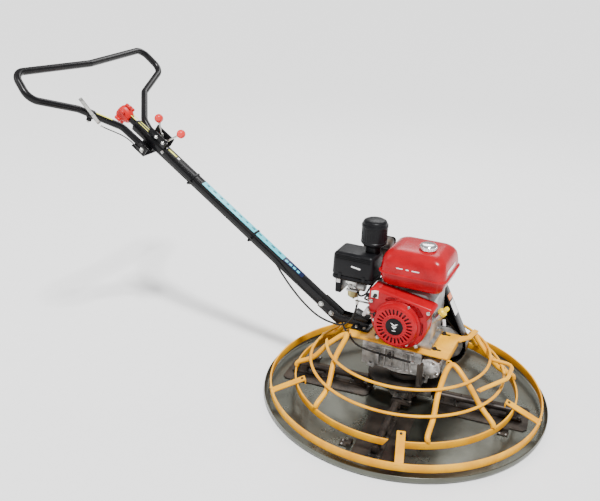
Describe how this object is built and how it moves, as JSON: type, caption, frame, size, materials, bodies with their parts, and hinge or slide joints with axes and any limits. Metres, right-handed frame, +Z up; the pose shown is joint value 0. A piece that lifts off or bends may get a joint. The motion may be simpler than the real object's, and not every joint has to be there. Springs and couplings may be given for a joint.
{
  "type": "power trowel",
  "caption": "Walk-behind concrete power trowel with a float pan, open guard cage, petrol engine and single-tube handle with loop bar.",
  "frame": {"origin": "on the floor under the centre of the float pan, on the pan's underside", "axes": "+Z up, handle leans back towards -X, recoil starter on the -Y side, belt drive on the +Y side"},
  "size_m": [1.8591, 1, 1.0671],
  "materials": {
    "guard_yellow": "gloss yellow powder coat",
    "pan_steel": "bright rolled steel, oiled",
    "blade_steel": "dark blue spring steel",
    "cast_grey": "grey casting",
    "black_paint": "gloss black enamel",
    "black_plastic": "satin black moulding",
    "engine_red": "gloss red enamel",
    "knob_red": "red moulded plastic",
    "lever_steel": "zinc plated",
    "cap_chrome": "bright plated",
    "dark_steel": "oily dark steel",
    "die_cast": "die cast alloy",
    "bronze": "gear bronze",
    "rubber": "black rubber",
    "grey_plastic": "pale grey moulding",
    "dipstick_yellow": "yellow moulding"
  },
  "bodies": {
    "chassis": {"deck_plate": "guard_yellow", "guard_outer_ring": "guard_yellow", "guard_lower_band": "guard_yellow", "guard_mid_ring": "guard_yellow", "guard_upper_ring": "guard_yellow", "guard_legs_front_near": "guard_yellow", "guard_legs_front_far": "guard_yellow", "guard_legs_rear_near": "guard_yellow", "guard_legs_rear_far": "guard_yellow", "lift_handle": "guard_yellow", "gearbox_housing": "cast_grey", "gearbox_cover": "cast_grey", "belt_guard": "black_paint", "v_belt": "rubber", "crankcase": "die_cast", "cylinder_head": "die_cast", "fan_shroud": "engine_red", "recoil_cover": "engine_red", "fuel_tank": "engine_red", "carburettor": "die_cast", "air_cleaner_base": "black_plastic", "air_cleaner_cover": "black_plastic", "muffler": "dark_steel", "oil_dipstick": "dipstick_yellow", "handle_tube": "black_paint", "handle_socket": "black_paint", "handlebar_loop": "black_paint", "loop_bracket": "black_paint", "lever_bracket": "black_paint", "throttle_cable": "rubber", "pitch_cable": "rubber", "stop_cable": "rubber"},
    "rotor": {"rotor_shaft": "dark_steel", "spider_hub": "cast_grey", "worm_wheel": "bronze"},
    "float_pan": {"float_pan": "pan_steel"},
    "wear_plate": {"wear_plate": "dark_steel"},
    "pitch_yoke": {"pitch_yoke": "dark_steel"},
    "worm": {"worm_shaft": "dark_steel", "driven_pulley": "cast_grey"},
    "clutch": {"clutch_drum": "dark_steel"},
    "crank": {"crankshaft": "dark_steel", "flywheel": "die_cast"},
    "recoil_spool": {"recoil_spool": "black_plastic"},
    "recoil_grip": {"recoil_grip": "grey_plastic"},
    "fuel_cap": {"fuel_cap": "cap_chrome"},
    "choke_lever": {"choke_lever": "lever_steel"},
    "engine_switch": {"engine_switch": "rubber"},
    "pitch_handwheel": {"pitch_handwheel": "knob_red"},
    "throttle_lever": {"throttle_lever": "lever_steel"},
    "speed_lock_lever": {"speed_lock_lever": "lever_steel"},
    "safety_lever": {"safety_lever": "lever_steel"},
    "blade_1": {"trowel_arm_1": "dark_steel", "trowel_blade_1": "blade_steel"},
    "blade_2": {"trowel_arm_2": "dark_steel", "trowel_blade_2": "blade_steel"},
    "blade_3": {"trowel_arm_3": "dark_steel", "trowel_blade_3": "blade_steel"},
    "blade_4": {"trowel_arm_4": "dark_steel", "trowel_blade_4": "blade_steel"}
  },
  "joints": [
    {"name": "rotor_spin", "type": "hinge", "parent": "chassis", "child": "rotor", "pos_m": [0, 0, 0.1], "axis": [0, 0, -1], "continuous": true},
    {"name": "pan_drop", "type": "slide", "parent": "rotor", "child": "float_pan", "axis": [0, 0, -1], "range_m": [0, 0.01963]},
    {"name": "wear_plate_slide", "type": "slide", "parent": "rotor", "child": "wear_plate", "axis": [0, 0, -1], "range_m": [0, 0.01188]},
    {"name": "yoke_swing", "type": "hinge", "parent": "chassis", "child": "pitch_yoke", "pos_m": [0.085, 0, 0.128], "axis": [0, -1, 0], "range_deg": [0, 8.2]},
    {"name": "worm_spin", "type": "hinge", "parent": "chassis", "child": "worm", "pos_m": [0.108, 0, 0.182], "axis": [0, 1, 0], "continuous": true},
    {"name": "clutch_spin", "type": "hinge", "parent": "chassis", "child": "clutch", "pos_m": [-0.01, 0.127, 0.338], "axis": [0, 1, 0], "continuous": true},
    {"name": "crank_spin", "type": "hinge", "parent": "chassis", "child": "crank", "pos_m": [-0.01, 0, 0.338], "axis": [0, 1, 0], "continuous": true},
    {"name": "recoil_spool_spin", "type": "hinge", "parent": "chassis", "child": "recoil_spool", "pos_m": [-0.01, -0.1385, 0.338], "axis": [0, -1, 0], "range_deg": [0, 900]},
    {"name": "recoil_pull", "type": "slide", "parent": "chassis", "child": "recoil_grip", "axis": [-1, 0, 0], "range_m": [0, 0.5], "stiffness_N_per_m": 12, "springref_m": -0.35},
    {"name": "fuel_cap_turn", "type": "hinge", "parent": "chassis", "child": "fuel_cap", "pos_m": [0.042, -0.02, 0.585], "axis": [0, 0, 1], "range_deg": [0, 90]},
    {"name": "choke_turn", "type": "hinge", "parent": "chassis", "child": "choke_lever", "pos_m": [-0.186, -0.0785, 0.428], "axis": [0, -1, 0], "range_deg": [0, 60]},
    {"name": "engine_switch_turn", "type": "hinge", "parent": "chassis", "child": "engine_switch", "pos_m": [-0.0905, -0.1325, 0.425], "axis": [0, 1, 0], "range_deg": [0, 45]},
    {"name": "handwheel_turn", "type": "hinge", "parent": "chassis", "child": "pitch_handwheel", "pos_m": [-1.16719, 0, 0.8701], "axis": [-0.8247, 0, 0.5655], "range_deg": [0, 1445]},
    {"name": "throttle_swing", "type": "hinge", "parent": "chassis", "child": "throttle_lever", "pos_m": [-1.01653, 0, 0.81043], "axis": [0, -1, 0], "range_deg": [-10, 40]},
    {"name": "speed_lock_swing", "type": "hinge", "parent": "chassis", "child": "speed_lock_lever", "pos_m": [-0.98849, 0, 0.7912], "axis": [0, 1, 0], "range_deg": [-10, 25]},
    {"name": "blade_pitch_1", "type": "hinge", "parent": "rotor", "child": "blade_1", "pos_m": [0, 0, 0.032], "axis": [-0.0872, 0.9962, 0], "range_deg": [0, 15.05]},
    {"name": "blade_pitch_2", "type": "hinge", "parent": "rotor", "child": "blade_2", "pos_m": [0, 0, 0.032], "axis": [-0.9962, -0.0872, 0], "range_deg": [0, 15.05]},
    {"name": "blade_pitch_3", "type": "hinge", "parent": "rotor", "child": "blade_3", "pos_m": [0, 0, 0.032], "axis": [0.0872, -0.9962, 0], "range_deg": [0, 15.05]},
    {"name": "blade_pitch_4", "type": "hinge", "parent": "rotor", "child": "blade_4", "pos_m": [0, 0, 0.032], "axis": [0.9962, 0.0872, 0], "range_deg": [0, 15.05]},
    {"name": "safety_squeeze", "type": "hinge", "parent": "chassis", "child": "safety_lever", "pos_m": [-1.17667, -0.17544, 0.89746], "axis": [0.8225, -0.5687, 0], "range_deg": [0, 16], "stiffness_Nm_per_rad": 0.6, "springref_deg": -20.05}
  ],
  "couplings": [
    {"joint": "wear_plate_slide", "follows": "pan_drop", "ratio": 0.6},
    {"joint": "yoke_swing", "follows": "pan_drop", "rad_per_m": 7.0588},
    {"joint": "handwheel_turn", "follows": "pan_drop", "rad_per_m": 1280},
    {"joint": "worm_spin", "follows": "rotor_spin", "ratio": 25},
    {"joint": "clutch_spin", "follows": "rotor_spin", "ratio": 44.048},
    {"joint": "recoil_spool_spin", "follows": "recoil_pull", "rad_per_m": 31.25},
    {"joint": "blade_pitch_1", "follows": "pan_drop", "rad_per_m": 13.333},
    {"joint": "blade_pitch_2", "follows": "pan_drop", "rad_per_m": 13.333},
    {"joint": "blade_pitch_3", "follows": "pan_drop", "rad_per_m": 13.333},
    {"joint": "blade_pitch_4", "follows": "pan_drop", "rad_per_m": 13.333}
  ]
}
